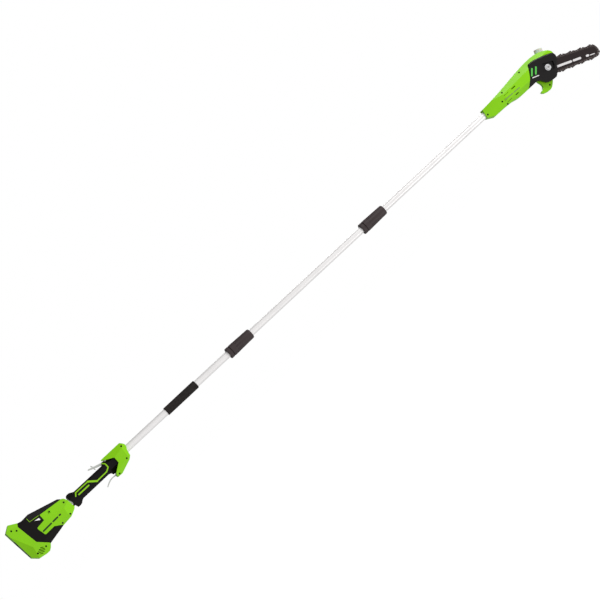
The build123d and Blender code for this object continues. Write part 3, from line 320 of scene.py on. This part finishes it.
GREEN = (0.262, 0.68, 0.0)
BLACK = (0.0058, 0.0045, 0.0045)
PALETTE = {
    "green_plastic": moulded("green_plastic", GREEN, 0.33, gloss_level=0.34),
    "black_plastic": moulded("black_plastic", BLACK, 0.30, gloss_level=0.17),
    "grip_rubber": moulded("grip_rubber", (0.011, 0.009, 0.009), 0.6, 1500, 0.3, gloss_level=0.2),
    "tube_aluminium": metal(
        "tube_aluminium", (0.98, 0.96, 0.955), 0.30, (0.02, 1, 1), 700, 0.01, 0.3),
    "coupler_plastic": moulded("coupler_plastic", (0.050, 0.036, 0.037), 0.42, gloss_level=0.3),
    "foam": foam_material(),
    "battery_plastic": moulded("battery_plastic", (0.014, 0.014, 0.0145), 0.4),
    "pale_plastic": moulded("pale_plastic", (0.58, 0.60, 0.56), 0.36, relief=0.04, mottle=0.97),
    "lime_inlay": moulded("lime_inlay", (0.30, 0.68, 0.005), 0.30, relief=0.06),
    "screw_steel": moulded("screw_steel", (0.004, 0.004, 0.004), 0.55, gloss_level=0.15),
    "chain_steel": metal("chain_steel", (0.085, 0.068, 0.066), 0.30, relief=0.05),
    "bar_steel": moulded("bar_steel", (0.022, 0.0145, 0.0145), 0.32, 1200, 0.05, gloss_level=0.25),
    "nut_steel": metal("nut_steel", (0.86, 0.86, 0.87), 0.2, relief=0.03),
    "cap_plastic": translucent("cap_plastic", (0.80, 0.82, 0.76), 0.12, 0.35),
    "contact_brass": metal("contact_brass", (0.83, 0.62, 0.28), 0.3),
    "board": moulded("board", (0.01, 0.12, 0.05), 0.35),
    "motor_steel": metal("motor_steel", (0.5, 0.5, 0.52), 0.35),
    "gear_steel": metal("gear_steel", (0.42, 0.41, 0.40), 0.32),
    "wire_cover": moulded("wire_cover", (0.012, 0.012, 0.012), 0.5),
}
COVER_BLACK = moulded("cover_black", BLACK, 0.24, relief=0.04, gloss_level=0.3)
RIVET_STEEL = metal("rivet_steel", (0.17, 0.15, 0.145), 0.3)
PRINT_DARK = moulded("print_dark", (0.018, 0.05, 0.004), 0.45, relief=0.05)
PRINT_GREY = moulded("print_grey", (0.20, 0.36, 0.07), 0.45, relief=0.05)
PRINT_WHITE = moulded("print_white", (0.80, 0.78, 0.78), 0.45, relief=0.05)
PRINT_LIME = moulded("print_lime", (0.10, 0.56, 0.08), 0.45, relief=0.05)


# ---------------------------------------------------------------- carried-over CAD nodes
# Width of the rounding along a node's edges, in millimetres.
EDGE_WIDTH = {
    "base_shell_right": 2.0, "base_shell_left": 2.0, "body_shell_right": 1.6,
    "body_shell_left": 1.6, "side_panel_right": 0.5, "side_panel_left": 0.5,
    "grip_shell_right": 3.0, "grip_shell_left": 3.0, "guard_shell_right": 2.2,
    "guard_shell_left": 2.2, "head_shell_right": 1.8, "head_shell_left": 1.8,
    "limb_hook": 1.4, "trigger": 0.8, "lockoff_lever": 0.8,
    "battery_case": 1.0, "battery_release": 0.5, "bar_nut": 0.5,
    "guide_bar": 0.25, "bar_cover": 1.0, "lower_ferrule": 0.4,
    "upper_ferrule": 0.4, "lower_sleeve": 0.4, "upper_sleeve": 0.4,
}
WELD_WITHIN = 0.001 * MM
FLAT_WITHIN = math.radians(1.0)
EDGE_FROM = math.radians(15)
EDGE_STEPS = 3


def soften(thing, width):
    """Rounds the sharp edges that a moulding or a stamping never has."""
    weld = thing.modifiers.new("weld", "WELD")
    weld.merge_threshold = WELD_WITHIN
    flat = thing.modifiers.new("flat_faces", "DECIMATE")
    flat.decimate_type = "DISSOLVE"
    flat.angle_limit = FLAT_WITHIN
    bevel = thing.modifiers.new("edges", "BEVEL")
    bevel.width = width * MM
    bevel.segments = EDGE_STEPS
    bevel.limit_method = "ANGLE"
    bevel.angle_limit = EDGE_FROM
    bevel.use_clamp_overlap = True
    normals = thing.modifiers.new("normals", "WEIGHTED_NORMAL")
    normals.keep_sharp = True


def dress_cad_nodes():
    """Gives each CAD node its slot's material, and the moulded and stamped ones round edges."""
    slot_of = {row["node"]: row["material_slot"] for row in record["subparts"]}
    for name, thing in nodes.items():
        thing.data.materials.clear()
        thing.data.materials.append(PALETTE[slot_of[name]])
        if name in EDGE_WIDTH:
            soften(thing, EDGE_WIDTH[name])
    nodes["bar_cover"].data.materials[0] = COVER_BLACK


# ---------------------------------------------------------------- added pieces
def add_piece(name, shape, material, body):
    """Turns a bmesh into a piece that has a finish and rides on a body."""
    mesh = bpy.data.meshes.new(name)
    bmesh.ops.recalc_face_normals(shape, faces=shape.faces)
    shape.to_mesh(mesh)
    shape.free()
    for face in mesh.polygons:
        face.use_smooth = True
    mesh.materials.append(material)
    piece = bpy.data.objects.new(name, mesh)
    bpy.context.scene.collection.objects.link(piece)
    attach(piece, body)
    return piece


def join_loops(shape, first, second):
    """Closes the band between two loops of as many points."""
    count = len(first)
    for step in range(count):
        after = (step + 1) % count
        shape.faces.new((first[step], first[after], second[after], second[step]))


FOAM_STEP = 0.7 * MM
FOAM_SIDES = 96
FOAM_EDGE = 1.6 * MM
FOAM_BORE = 12.05 * MM
FOAM_SKIN = 0.1 * MM
FOAM_UNEVEN = 0.22 * MM
FOAM_WAVES = 45
FOAM_FINENESS = 0.8
FOAM_SPREAD = 2.0
FOAM_OCTAVES = 3


def foam_sleeve():
    """Foam sleeve with soft rounded ends and a slightly uneven, compressed skin."""
    low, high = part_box("foam_grip")
    start, end = low.x, high.x
    radius = (high.z - low.z) / 2 - FOAM_SKIN
    rings = round((end - start) / FOAM_STEP)
    profile = [(start, FOAM_BORE)]
    for ring in range(rings + 1):
        x = start + (end - start) * ring / rings
        inset = max(0.0, FOAM_EDGE - (x - start), FOAM_EDGE - (end - x))
        drop = FOAM_EDGE - math.sqrt(max(0.0, FOAM_EDGE ** 2 - inset ** 2))
        profile.append((x, radius - drop))
    profile.append((end, FOAM_BORE))
    shape = bmesh.new()
    loops = []
    for x, distance in profile:
        loop = []
        for side in range(FOAM_SIDES):
            angle = math.tau * side / FOAM_SIDES
            spot = Vector((x, distance * math.cos(angle), distance * math.sin(angle)))
            if distance > FOAM_BORE:
                wander = field.fractal(spot * FOAM_WAVES, FOAM_FINENESS, FOAM_SPREAD, FOAM_OCTAVES)
                dent = 0.5 + 0.5 * max(-1.0, min(1.0, wander))
                spot.yz *= 1 - FOAM_UNEVEN / distance * dent
            loop.append(shape.verts.new(spot))
        loops.append(loop)
    for first, second in zip(loops, loops[1:] + loops[:1]):
        join_loops(shape, first, second)
    piece = add_piece("foam_sleeve", shape, PALETTE["foam"], "power_unit")
    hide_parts("foam_grip")


RUBBER_VOXEL = 0.75 * MM
RIB_PITCH = 5.2 * MM
RIB_DEPTH = 0.45 * MM
RIB_ZONE = (87 * MM, 200 * MM)
RIB_FADE = 4 * MM
RIB_SHARPNESS = 6
RIB_UPWARD = 0.1
SKIN_STEP = 0.2 * MM
RUBBER_SMOOTHING = 0.5
RUBBER_PASSES = 5


def rib_cut(x):
    """Depth of the grooves between the ribs at a place along the handle, from 0 to 1."""
    start, end = RIB_ZONE
    fade = min(1.0, max(0.0, (x - start) / RIB_FADE), max(0.0, (end - x) / RIB_FADE))
    wave = 0.5 + 0.5 * math.cos(math.tau * x / RIB_PITCH)
    return fade * wave ** RIB_SHARPNESS


def handle_rubber():
    """Soft ribbed rubber over the top handle, rounded at every edge."""
    source = nodes["handle_overmould"]
    piece = bpy.data.objects.new("handle_rubber", source.data.copy())
    bpy.context.scene.collection.objects.link(piece)
    weld = piece.modifiers.new("weld", "WELD")
    weld.merge_threshold = WELD_WITHIN
    remesh = piece.modifiers.new("remesh", "REMESH")
    remesh.mode = "VOXEL"
    remesh.voxel_size = RUBBER_VOXEL
    smooth = piece.modifiers.new("smooth", "SMOOTH")
    smooth.factor = RUBBER_SMOOTHING
    smooth.iterations = RUBBER_PASSES
    bpy.context.view_layer.update()
    graph = bpy.context.evaluated_depsgraph_get()
    mesh = bpy.data.meshes.new_from_object(piece.evaluated_get(graph))
    bpy.data.objects.remove(piece)
    shape = bmesh.new()
    shape.from_mesh(mesh)
    shape.normal_update()
    surface = BVHTree.FromBMesh(shape)
    moves = []
    for vertex in shape.verts:
        clear_of_skin = vertex.co + vertex.normal * SKIN_STEP
        outside = surface.ray_cast(clear_of_skin, vertex.normal)[0] is None
        if outside and vertex.normal.z > RIB_UPWARD:
            moves.append((vertex, vertex.normal * RIB_DEPTH * rib_cut(vertex.co.x)))
    for vertex, move in moves:
        vertex.co -= move
    piece = add_piece("handle_rubber", shape, PALETTE["grip_rubber"], "power_unit")
    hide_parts("handle_overmould")


OUTSIDE_Y = 200 * MM


def surface_y(surface, x, z, side):
    """Where a line across the tool first meets a surface, from the side given as -1 or 1."""
    hit = surface.ray_cast(Vector((x, side * OUTSIDE_Y, z)), Vector((0, -side, 0)))[0]
    return hit.y


BEAD_CORNERS = [(79.3, 57.4), (79.5, 41.2), (116, 36.4)]
BEAD_R = 0.9 * MM
BEAD_SINK = 0.1 * MM
BEAD_PITCH = 1.5 * MM
BEAD_SIDES = 12
BEAD_END = 0.55


def bead_spine(corners, surface, side):
    """Points along a surface, evenly spaced between corners given in X and Z."""
    stations = []
    for (x0, z0), (x1, z1) in zip(corners, corners[1:]):
        count = max(2, round(math.hypot(x1 - x0, z1 - z0) / BEAD_PITCH))
        for step in range(count):
            share = step / count
            stations.append((x0 + share * (x1 - x0), z0 + share * (z1 - z0)))
    stations.append(corners[-1])
    spine = []
    for x, z in stations:
        spine.append(Vector((x, surface_y(surface, x, z, side) - side * BEAD_SINK, z)))
    return spine


def bead(name, spine):
    """Round moulded bead along a line of points, drawn in at both ends."""
    shape = bmesh.new()
    loops = []
    last = len(spine) - 1
    for index, spot in enumerate(spine):
        ahead = spine[min(index + 1, last)] - spine[max(index - 1, 0)]
        across = ahead.cross(Vector((0, 1, 0))).normalized()
        out = across.cross(ahead).normalized()
        size = BEAD_R * (BEAD_END if index in (0, last) else 1.0)
        loop = []
        for step in range(BEAD_SIDES):
            angle = math.tau * step / BEAD_SIDES
            offset = math.cos(angle) * across + math.sin(angle) * out
            loop.append(shape.verts.new(spot + size * offset))
        loops.append(loop)
    for first, second in zip(loops, loops[1:]):
        join_loops(shape, first, second)
    shape.faces.new(loops[0])
    shape.faces.new(loops[-1])
    add_piece(name, shape, PALETTE["lime_inlay"], "power_unit")


def lime_beads(surface):
    """Thin lime bead round the rear of the rubber, on both sides."""
    corners = [(x * MM, z * MM) for x, z in BEAD_CORNERS]
    for side, label in ((-1, "right"), (1, "left")):
        bead(f"lime_bead_{label}", bead_spine(corners, surface, side))


STRIPE_THICK = 0.3 * MM
STRIPE_ARC = 8


def stripe(name, start, end, width, face_y, side, material, body):
    """Flat printed stripe with round ends on a side face, between two points in X and Z."""
    first = Vector((start[0] * MM, 0, start[1] * MM))
    last = Vector((end[0] * MM, 0, end[1] * MM))
    along = (last - first).normalized()
    across = Vector((-along.z, 0, along.x))
    radius = width * MM / 2
    rim = []
    for centre, turn in ((last, -math.pi / 2), (first, math.pi / 2)):
        for step in range(STRIPE_ARC + 1):
            angle = turn + math.pi * step / STRIPE_ARC
            rim.append(centre + radius * (math.cos(angle) * along + math.sin(angle) * across))
    shape = bmesh.new()
    inner = [shape.verts.new(spot + Vector((0, face_y, 0))) for spot in rim]
    outer = [shape.verts.new(spot + Vector((0, face_y + side * STRIPE_THICK, 0))) for spot in rim]
    shape.faces.new(inner)
    shape.faces.new(outer)
    join_loops(shape, inner, outer)
    piece = add_piece(name, shape, material, body)
    for face in piece.data.polygons:
        face.use_smooth = False
    return piece


# Where each plain stripe starts and ends in X and Z, and its width, in millimetres.
PANEL_STRIPES = [
    ((92, -12.5), (128, -11.2), 5.5),
    ((137, -10.9), (157, -10.2), 5.5),
    ((166, -9.9), (170, -9.7), 5.5),
]
HEAD_STRIPES = [((2281, -9), (2316, -10.6), 4.2), ((2323, -10.9), (2348, -12), 4.2)]
COVER_LIME = [((2411, -11), (2428, 6), 6), ((2426, -16), (2443, 1), 6)]
COVER_WHITE = [((2408, -19), (2430, -27), 3.4)]
BAR_STRIPES = [((2508, -48.5), (2557, -68.3), 8), ((2567, -72.4), (2590, -81.6), 8)]
BAR_MARKS = [((2614, -92), (2618, -93.6), 8), ((2625, -98), (2640, -104), 3)]


def printed_stripes():
    """Plain stripes and bars in the places of the tool's markings."""
    panel_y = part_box("side_panel_right")[0].y
    head_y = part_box("head_shell_right")[0].y
    cover_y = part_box("bar_cover")[0].y
    bar_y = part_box("guide_bar")[0].y
    groups = [
        ("panel_stripe", PANEL_STRIPES, panel_y, PRINT_DARK, "coupler_plastic", "power_unit"),
        ("head_stripe", HEAD_STRIPES, head_y, PRINT_GREY, "green_plastic", "saw_head"),
        ("cover_flash", COVER_LIME, cover_y, PRINT_LIME, "lime_inlay", "saw_head"),
        ("cover_dash", COVER_WHITE, cover_y, PRINT_WHITE, "pale_plastic", "saw_head"),
        ("bar_stripe", BAR_STRIPES, bar_y, PRINT_WHITE, "pale_plastic", "bar_and_chain"),
        ("bar_mark", BAR_MARKS, bar_y, PRINT_WHITE, "pale_plastic", "bar_and_chain"),
    ]
    for name, stripes, face_y, material, slot, body in groups:
        for index, (start, end, width) in enumerate(stripes):
            stripe(f"{name}_{index}", start, end, width, face_y, -1, material, body)


LINK_LENGTH = 16.4 * MM
LINK_CORNER = 8.4 * MM
RIVET_REACH = 4.76 * MM
RIVET_R = 1.75 * MM
RIVET_RISE = 0.4 * MM
RIVET_SINK = 0.1 * MM
RIVET_SHOULDER = 0.45
RIVET_CROWN = 0.72
RIVET_SIDES = 14


def loose_parts(mesh):
    """The separate solids of a mesh, each as a list of its welded corner points."""
    shape = bmesh.new()
    shape.from_mesh(mesh)
    bmesh.ops.remove_doubles(shape, verts=shape.verts, dist=WELD_WITHIN)
    seen = set()
    parts = []
    for start in shape.verts:
        if start in seen:
            continue
        seen.add(start)
        reached = [start]
        for vertex in reached:
            for edge in vertex.link_edges:
                other = edge.other_vert(vertex)
                if other not in seen:
                    seen.add(other)
                    reached.append(other)
        parts.append([vertex.co.copy() for vertex in reached])
    shape.free()
    return parts


def flat_gap(a, b):
    """Distance between two points in the bar's plane."""
    return math.hypot(a.x - b.x, a.z - b.z)


def rivet_places():
    """Rivet centres in the bar's plane, two for each drive link."""
    places = []
    for part in loose_parts(nodes["chain_drive_links"].data):
        pairs = [(flat_gap(a, b), a, b) for a in part for b in part]
        tail, head = max(pairs, key=lambda pair: pair[0])[1:]
        middle = (tail + head) / 2
        corners = [spot for spot in part if flat_gap(spot, middle) > LINK_CORNER]
        partner = min(corners, key=lambda spot: abs(flat_gap(spot, tail) - LINK_LENGTH))
        along = partner - tail
        along.y = 0
        along.normalize()
        places.append(middle + RIVET_REACH * along)
        places.append(middle - RIVET_REACH * along)
    return places


def add_rivet(shape, centre, face_y, side):
    """Low domed rivet head on one side of the chain."""
    rims = []
    levels = ((1.0, -RIVET_SINK), (1.0, RIVET_SHOULDER * RIVET_RISE), (RIVET_CROWN, RIVET_RISE))
    for share, rise in levels:
        rim = []
        for step in range(RIVET_SIDES):
            angle = math.tau * step / RIVET_SIDES
            offset = Vector((math.cos(angle), 0, math.sin(angle))) * RIVET_R * share
            rim.append(shape.verts.new(Vector((centre.x, face_y + side * rise, centre.z)) + offset))
        rims.append(rim)
    for first, second in zip(rims, rims[1:]):
        join_loops(shape, first, second)
    shape.faces.new(rims[0])
    shape.faces.new(rims[-1])


def chain_rivets():
    """Rivet heads on both sides of the chain."""
    low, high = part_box("chain_straps")
    shape = bmesh.new()
    for place in rivet_places():
        add_rivet(shape, place, low.y, -1)
        add_rivet(shape, place, high.y, 1)
    add_piece("chain_rivets", shape, RIVET_STEEL, "bar_and_chain")


BOSS_CENTRE = (150 * MM, 22 * MM)
BOSS_SEAT = -34.4 * MM
BOSS_TOP_R = 3.6 * MM
BOSS_FOOT_R = 5.2 * MM
BOSS_SINK = 0.3 * MM
BOSS_SIDES = 32


def screw_boss(surface):
    """Short green boss that carries the screw on the panel's sloping shoulder."""
    x, z = BOSS_CENTRE
    shape = bmesh.new()
    top, foot = [], []
    for step in range(BOSS_SIDES):
        angle = math.tau * step / BOSS_SIDES
        across, up = math.cos(angle), math.sin(angle)
        top.append(shape.verts.new((x + BOSS_TOP_R * across, BOSS_SEAT, z + BOSS_TOP_R * up)))
        foot_x, foot_z = x + BOSS_FOOT_R * across, z + BOSS_FOOT_R * up
        foot_y = surface_y(surface, foot_x, foot_z, -1) + BOSS_SINK
        foot.append(shape.verts.new((foot_x, max(foot_y, BOSS_SEAT), foot_z)))
    shape.faces.new(top)
    shape.faces.new(foot)
    join_loops(shape, top, foot)
    add_piece("screw_boss", shape, PALETTE["green_plastic"], "power_unit")


def node_surface(*names):
    """Search tree over the surfaces of CAD nodes."""
    shape = bmesh.new()
    for name in names:
        shape.from_mesh(nodes[name].data)
    return BVHTree.FromBMesh(shape)


place_camera()
light_studio()
lay_floor()
dress_cad_nodes()
foam_sleeve()
handle_rubber()
lime_beads(node_surface("handle_overmould", "body_shell_right", "body_shell_left"))
screw_boss(node_surface("side_panel_right", "body_shell_right"))
printed_stripes()
chain_rivets()
bpy.context.scene.view_settings.view_transform = "Standard"
